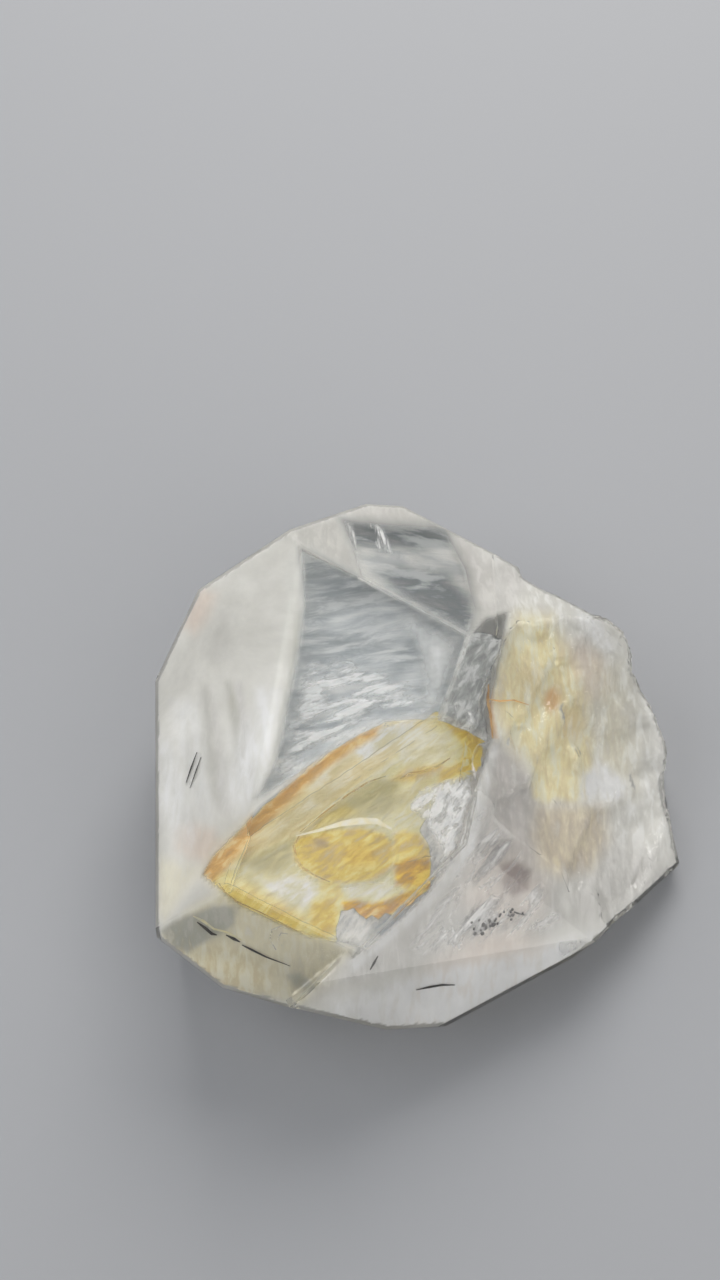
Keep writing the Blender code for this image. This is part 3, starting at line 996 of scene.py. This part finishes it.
LEAF_PLACES = [
    ("bright", 0.35, 6, [
        (268, 838), (300, 806), (340, 780), (380, 756), (400, 744), (396, 752), (350, 782), (300, 820)]),
    ("peach", 0.85, 8, LEAF_TOP + [(438, 724)] + EDGE_LINE + [(225, 872), (203, 874)]),
    ("olive", 0.5, 10, [(262, 846), (292, 812), (330, 782), (350, 786), (318, 812), (286, 836)]),
    ("olive", 1.0, 9, [(244, 862), (262, 852), (296, 838), (292, 858), (280, 872), (258, 874)]),
    ("olive", 1.0, 8, [
        (306, 832), (340, 803), (376, 780), (398, 778), (404, 800), (386, 816), (350, 818), (320, 826)]),
    ("gold", 0.45, 6, [(304, 834), (322, 814), (344, 804), (356, 812), (340, 822), (318, 832)]),
    ("rust", 1.0, 5, LEAF_TOP[:12] + [
        (376, 736), (348, 753), (317, 776), (290, 801), (266, 824), (244, 848), (220, 872)]),
    ("rust", 1.0, 5, [(201, 874), (213, 855), (234, 836), (244, 842), (226, 868), (212, 882)]),
    ("rust", 0.5, 8, [(226, 846), (250, 822), (262, 818), (256, 832), (240, 850)]),
    ("gold", 0.5, 6, [
        (206, 878), (216, 880), (246, 894), (280, 908), (304, 922), (304, 938), (262, 917), (236, 904),
        (212, 888)]),
    ("yellow", 0.95, 8, [
        (204, 872), (218, 872), (244, 880), (274, 896), (308, 916), (306, 938), (262, 917), (236, 905),
        (212, 888)]),
    ("bright", 1.0, 8, [
        (346, 748), (366, 734), (386, 726), (412, 722), (416, 738), (396, 750), (366, 760)]),
    ("bright", 0.4, 10, [(310, 770), (350, 745), (360, 756), (330, 782), (312, 786)]),
    ("olive", 0.8, 6, [(226, 880), (250, 874), (262, 886), (256, 896), (238, 892)]),
    ("yellow", 0.35, 14, [
        (410, 736), (440, 720), (478, 746), (470, 772), (440, 790), (410, 810), (396, 790), (402, 760)]),
    ("gold", 1.0, 4, [
        (436, 716), (463, 721), (480, 734), (486, 750), (478, 769), (458, 777), (440, 782), (440, 772),
        (456, 764), (462, 750), (454, 738)]),
    ("amber", 0.3, 5, [
        (452, 722), (466, 729), (477, 742), (478, 756), (468, 770), (460, 770), (469, 752), (462, 738)]),
    ("amber", 0.45, 4, [
        (392, 780), (404, 770), (420, 768), (440, 764), (446, 768), (430, 777), (410, 782)]),
    ("bright", 0.9, 6, [
        (262, 882), (276, 880), (290, 876), (312, 882), (316, 892), (308, 906), (290, 912), (272, 902)]),
    ("bright", 0.8, 4, [
        (398, 748), (412, 730), (430, 728), (448, 738), (446, 756), (420, 764), (402, 764)]),
    ("gold", 0.95, 3, [
        (300, 836), (293, 846), (295, 860), (303, 870), (316, 876), (330, 882), (346, 883), (370, 880),
        (386, 874), (394, 862), (394, 846), (384, 834), (360, 828), (330, 830)]),
    ("amber", 0.6, 7, [(346, 848), (360, 844), (376, 850), (374, 864), (352, 868), (342, 860)]),
    ("olive", 0.6, 7, [(364, 830), (386, 832), (396, 844), (384, 848), (366, 842)]),
    ("spot", 0.9, 3, [(313, 840), (320, 838), (328, 842), (327, 847), (318, 846)]),
    ("gold", 0.9, 4, [
        (394, 834), (404, 830), (418, 834), (428, 844), (431, 862), (430, 886), (418, 896), (404, 890),
        (392, 870)]),
    ("olive", 0.6, 5, [(300, 838), (330, 836), (334, 862), (320, 870), (302, 862)]),
    ("amber", 1.0, 3, [(396, 864), (410, 858), (430, 860), (430, 888), (420, 888), (410, 884), (396, 885)]),
    ("bright", 0.55, 5, [(340, 884), (364, 882), (390, 880), (394, 890), (376, 898), (350, 896)]),
    ("yellow", 1.0, 3, [
        (320, 878), (340, 884), (344, 898), (340, 914), (338, 928), (330, 941), (303, 934), (306, 918),
        (312, 902), (320, 894)]),
    ("gold", 0.8, 4, [(314, 902), (334, 900), (338, 916), (330, 934), (310, 932)]),
    ("rust", 0.7, 3, [
        (348, 906), (362, 908), (384, 906), (404, 900), (420, 892), (424, 896), (404, 910), (384, 918),
        (366, 923), (352, 912)]),
    ("amber", 1.0, 3, [
        (342, 902), (356, 900), (372, 904), (388, 900), (402, 894), (418, 888), (420, 896), (404, 906),
        (384, 916), (368, 922), (354, 912), (344, 912)]),
]
print("places of the leaf:", len(LEAF_PLACES))

# %% Golden leaf
LEAF_UNDER_TOP = [(247, 822), *LEAF_TOP[4:], (442, 718), (404, 744), (340, 786), (290, 819), (246, 848)]
LEAF_UNDER_LOW = [
    (221, 892), (240, 845), (290, 811), (340, 779), (402, 738), (438, 714), (462, 722), (479, 734),
    (485, 750), (478, 770), (458, 786), (440, 800), (432, 812), (420, 830), (430, 845), (432, 864),
    (430, 888), (424, 892), (416, 897), (408, 904), (400, 907), (393, 916), (386, 914), (378, 921),
    (372, 916), (366, 921), (360, 916), (354, 909), (342, 912), (338, 928), (336, 946), (303, 934),
    (262, 914), (236, 902)]
LEAF_UNDER_LEFT = [
    (195, 877), (205, 851), (223, 832), (244, 813), (250, 838), (236, 870), (230, 891), (212, 892)]
LEAF_UNDER_RHOMB = [
    (222, 884), (228, 884), (262, 902), (300, 921), (340, 940), (333, 947), (303, 941), (262, 920),
    (236, 908), (214, 895)]
leaf_gold = film_finish("leaf_gold", [(0.84, 0.78, 0.44), (0.91, 0.86, 0.56), (0.95, 0.92, 0.72)],
                        (0.85, 1.0), scale=11.0, stretch=(2.0, 0.7), turn=35, contrast=2.6, edge=1.0,
                        ragged=1.0, relief=0.6, tints=LEAF_TINTS)
for name, outline, face, depth in (("leaf_top", LEAF_UNDER_TOP, TOP, sheet_depth),
                                   ("leaf_low", LEAF_UNDER_LOW, LOW, sheet_depth),
                                   ("leaf_tip", LEAF_UNDER_LEFT, LEFT, DEEP_IN_TIP),
                                   ("leaf_strip", LEAF_UNDER_RHOMB, RHOMB, DEEP_IN_TIP)):
    film(name, torn(outline, 1.5), face, depth, leaf_gold, cell=3, places=LEAF_PLACES,
         tints=tuple(LEAF_TINTS))

# %% [markdown]
# Folds and rims of the leaf catch the light or hold a line of rust. They are narrow films that lie a
# little way above the sheet, by the lift that each of them is given in mm.

# %% Lines on the leaf
# painted highlights: the pale gold and crescent films stand in for light caught by the folds and the pocket
gold_highlight = film_finish("gold_highlight", [(0.92, 0.84, 0.50), (0.95, 0.92, 0.72)], (0.5, 1.0), scale=14.0)
rust_line = film_finish("rust_line", [(0.58, 0.36, 0.10), (0.80, 0.58, 0.24)], (0.0, 0.9), scale=14.0)
crescent = film_finish("crescent", [(0.98, 0.90, 0.60), (0.99, 0.97, 0.86)], (0.9, 1.0), scale=14.0)
for name, lift, finish, points, widths in (
        ("pocket_rim", 0.35, rust_line,
         [(300, 834), (294, 846), (296, 858), (303, 868), (316, 876), (330, 882)], [1, 2.5, 3, 2.5, 2, 1]),
        ("pocket_light", 0.45, crescent,
         [(296, 836), (320, 830), (340, 824), (358, 821), (376, 821), (392, 829)], [1, 3, 5, 7, 6, 1.5]),
        ("pocket_gleam", 0.4, gold_highlight, [(346, 888), (358, 884), (372, 882), (384, 884)], [1, 2.5, 2, 1]),
        ("fold_line", 0.3, rust_line, [(300, 832), (322, 814), (346, 796), (368, 782), (386, 776)],
         [0.8, 1.4, 1.6, 1.4, 0.8]),
        ("fold_light", 0.32, gold_highlight, [(304, 828), (326, 809), (350, 790), (372, 776)],
         [0.6, 1.6, 1.6, 0.6]),
        ("leaf_flaw", 0.3, rust_line, [(400, 779), (410, 773), (424, 771), (438, 766), (450, 758)],
         [1, 2, 2, 2, 0.8]),
        ("mass_flaw", 0.3, rust_line, [(406, 862), (416, 860), (426, 856), (432, 857)],
         [0.6, 1.4, 1.4, 0.6])):
    line_film(name, points, widths, LOW, above_leaf(lift), finish, cell=4)
line_film("low_edge_line", [(210, 880), (236, 901), (262, 913), (303, 934)], [1, 1.4, 1.2, 0.8], RHOMB, 0.4,
          rust_line, cell=4)

# %% [markdown]
# White, silvery crinkles of healed cracks lie around the gold, close behind it.

# %% Silver crinkles
SILVER = {
    "bright": [(0.84, 0.85, 0.86), (0.95, 0.96, 0.96), (0.99, 0.99, 0.99)],
    "blue": [(0.22, 0.26, 0.32), (0.38, 0.42, 0.47)],
    "lilac": [(0.62, 0.59, 0.57), (0.78, 0.75, 0.73)],
}
SILVER_PLACES = [
    ("bright", 1.0, 8, [
        (392, 804), (420, 782), (448, 776), (462, 800), (458, 846), (436, 880), (432, 850), (416, 826)]),
    ("bright", 0.7, 5, [(336, 920), (350, 908), (366, 926), (386, 930), (368, 950), (342, 944)]),
    ("blue", 1.0, 5, [(372, 930), (388, 918), (404, 908), (418, 898), (408, 916), (384, 938)]),
    ("lilac", 0.8, 8, [(470, 762), (488, 745), (476, 800), (460, 850), (430, 896), (436, 880), (456, 840)]),
]
LOW_BACK = [
    (300, 926), (330, 880), (400, 770), (440, 714), (490, 738), (476, 800), (462, 850), (430, 896),
    (369, 951), (303, 936)]
FUZZ = [
    (400, 806), (418, 788), (444, 776), (470, 770), (484, 756), (474, 800), (461, 848), (430, 894),
    (422, 900), (432, 884), (437, 850), (422, 824)]
silver = film_finish("silver", [(0.62, 0.64, 0.65), (0.80, 0.81, 0.81), (0.93, 0.93, 0.92)], (0.8, 1.0),
                     scale=16.0, stretch=(0.7, 1.7), turn=-35, contrast=3.0, edge=1.5, ragged=1, relief=0.6,
                     tints=SILVER)
film("low_back", torn(LOW_BACK, 1), LOW, above_leaf(-0.35), silver, cell=4, places=SILVER_PLACES,
     tints=tuple(SILVER))
fuzz = film_finish("white_fuzz", [(0.82, 0.83, 0.84), (0.94, 0.95, 0.95), (0.99, 0.99, 0.99)], (0.1, 1.7),
                   scale=15.0, stretch=(0.7, 1.5), turn=-40, contrast=3.4, edge=7, ragged=6, relief=0.6)
film("low_fuzz", torn(FUZZ, 3), LOW, 0.8, fuzz, cell=4)
frost_line = film_finish("frost_line", [(0.88, 0.85, 0.84), (0.95, 0.94, 0.94)], (0.0, 1.0), scale=12.0,
                         contrast=3.0, edge=3, ragged=3)
STEP = [
    (489, 738), (480, 770), (470, 812), (458, 848), (444, 872), (426, 895), (398, 922), (366, 949),
    (335, 976)]
line_film("step_frost", STEP, [6, 8, 8, 8, 9, 9, 8, 6, 3], FRONT, 0.2, frost_line, cell=5)

# %% [markdown]
# ## Lower left corner
# The front rhomb face has one long black crack with a bright side, a small swirl and a few flecks.
# The crack is broken off twice, so it is made in three lengths.

# %% Lower left corner
FLECKS = [(280, 962), (292, 960), (300, 970), (288, 976)]
black = film_finish("black_crack", [(0.03, 0.03, 0.03), (0.08, 0.07, 0.06)], (0.9, 1.0), scale=8.0)
swirl_white = film_finish("swirl", [(0.78, 0.76, 0.68), (0.88, 0.87, 0.82)], (-0.2, 0.9), scale=10.0)
for name, depth, finish, points, widths in (
        ("crack_left", 0.15, black, [(197, 922), (205, 928), (212, 934), (217, 935)], [1, 3, 3, 1]),
        ("crack_middle", 0.15, black, [(226, 935), (234, 939), (240, 942)], [1, 3.2, 1]),
        ("crack_right", 0.15, black, [(242, 945), (252, 950), (266, 957), (290, 966)], [1, 2.2, 1.6, 0.6]),
        # painted highlight: a pale film along the crack's bright side
        ("crack_light", 0.2, gold_highlight, [(193, 916), (203, 921), (214, 929), (226, 932), (242, 940)],
         [1, 3, 2, 2, 1]),
        ("swirl_outer", 0.16, swirl_white, [(276, 950), (270, 940), (272, 930), (281, 926), (290, 930)],
         [0.8, 1.6, 2, 1.6, 0.8]),
        ("swirl_inner", 0.16, swirl_white, [(282, 946), (278, 939), (281, 933), (288, 934)],
         [0.6, 1.4, 1.4, 0.6])):
    line_film(name, points, widths, RHOMB, depth, finish)
film("corner_flecks", torn(FLECKS, 2), RHOMB, 0.2, bright)

# %% [markdown]
# ## Small flaws
# Under the front right face lie white flaws, light and shady wisps of haze, and a gleam in the chip
# at its foot.

# %% Flaws and wisps
FLAWS = [(440, 920), (455, 912), (470, 930), (468, 952), (454, 956), (440, 954), (430, 940)]
LIGHT_WISPS = [
    (470, 800), (500, 800), (530, 850), (572, 920), (540, 945), (440, 960), (380, 965), (430, 900),
    (462, 850)]
SHADY_WISPS = [
    (476, 800), (500, 810), (540, 870), (560, 920), (500, 940), (420, 955), (400, 940), (450, 880),
    (468, 850)]
GLEAM = [(556, 942), (576, 939), (594, 938), (578, 950), (560, 960)]
film("front_flaws", torn(FLAWS, 4), FRONT, 0.2, bright)
front_wisp = film_finish("front_wisp", [(0.84, 0.83, 0.81), (0.93, 0.92, 0.91)], (-0.9, 1.0), scale=7.0,
                         stretch=(0.6, 2.6), turn=-40, contrast=3.4, edge=14, ragged=8)
film("front_wisps", torn(LIGHT_WISPS, 3), FRONT, 0.16, front_wisp)
front_shade = film_finish("front_shade", [(0.50, 0.49, 0.48), (0.62, 0.61, 0.60)], (-0.9, 0.8), scale=5.0,
                          stretch=(0.5, 2.4), turn=-38, contrast=3.0, edge=16, ragged=10)
film("front_shades", torn(SHADY_WISPS, 3), FRONT, 0.2, front_shade)
# painted highlight: the gleam in the chip is a white film
film("front_gleam", torn(GLEAM, 1), CHIP, 0.2, white_highlight)

# %% [markdown]
# Scratches and hairlines are the thinnest cracks. Each is a narrow film, widest in its middle.

# %% Scratches and hairlines
for name, face, depth, finish, points, widths in (
        ("scratch_left", LEFT, 0.15, black, [(197, 752), (191, 768), (186, 783)], [0.6, 1.6, 0.6]),
        ("scratch_left_low", LEFT, 0.15, black, [(201, 757), (196, 771), (190, 788)], [0.5, 1.2, 0.5]),
        ("hairline_low", CHIP, 0.2, black, [(416, 990), (430, 987), (442, 985), (455, 985)],
         [0.8, 2.2, 2, 0.8]),
        ("hairline_side", FRONT, 0.2, black, [(370, 970), (374, 963), (378, 956)], [1, 2.5, 1]),
        ("hairline_spot", FRONT, 0.2, black, [(514, 912), (520, 914), (529, 916)], [1.6, 1.8, 0.8]),
        ("hairline_right", RIGHT, 0.1, rust, [(489, 699), (500, 701), (514, 700), (529, 705)],
         [0.8, 1.6, 1.4, 0.6])):
    line_film(name, points, widths, face, depth, finish)

# %% [markdown]
# Dark grains lie in two clusters under the front right face. A grain starts as a small ball, and
# noise pushes its points in and out until it looks broken. The noise that scatters the grains gets a
# seed, so that they lie in the same places in each run.

# %% Dark grains
GRAIN_DEEP, GRAIN_SPREAD = 0.14, 0.05
NEXT_GRAIN, SEED = 3.7, 107
ROUGH_SCALE, ROUGHNESS_OF_GRAIN = 4000, 0.5


def specks(name, middle, spread, count, size, material, seed):
    """A cluster of small dark grains, spread over pixels, with their size in mm."""
    grains = []
    for number in range(count):
        drift = noise.noise_vector(Vector((number * NEXT_GRAIN + seed, 1.3, 8.1)))
        px, py = middle[0] + drift.x * spread[0] * 2, middle[1] + drift.y * spread[1] * 2
        here = under_skin(inside(px, py, GRAIN_DEEP + GRAIN_SPREAD * drift.z, FRONT), size * 1.3)
        deselect()
        radius = size * MM * (0.6 + abs(drift.z))
        bpy.ops.mesh.primitive_ico_sphere_add(subdivisions=2, radius=radius, location=here)
        grain = bpy.context.object
        for point in grain.data.vertices:
            point.co *= 1 + ROUGHNESS_OF_GRAIN * noise.noise(point.co * ROUGH_SCALE + drift * 10)
        grains.append(grain)
    for grain in grains:
        grain.select_set(True)
    bpy.context.view_layer.objects.active = grains[0]
    bpy.ops.object.join()
    cluster = bpy.context.object
    cluster.name = name
    bpy.ops.object.transform_apply(location=True, rotation=True, scale=True)
    dress(cluster, material)
    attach(cluster, "root")
    print(name, count, "grains")


def speck_finish():
    material = bpy.data.materials.new("dark_speck")
    shader = shader_of(material)
    tree = material.node_tree
    place = add(tree, "ShaderNodeTexCoord").outputs["Object"]
    grain = streaks_on(tree, place, Scale=900.0, Contrast=2.0)
    colour = tone_ramp(tree, grain, [(0.03, 0.03, 0.03), (0.16, 0.15, 0.14)])
    tree.links.new(colour, shader.inputs["Base Color"])
    return material


dark_speck = speck_finish()
noise.seed_set(SEED)
specks("specks_left", (483, 925), (9, 7), 18, 0.2, dark_speck, 1)
specks("specks_right", (508, 915), (12, 7), 16, 0.13, dark_speck, 5)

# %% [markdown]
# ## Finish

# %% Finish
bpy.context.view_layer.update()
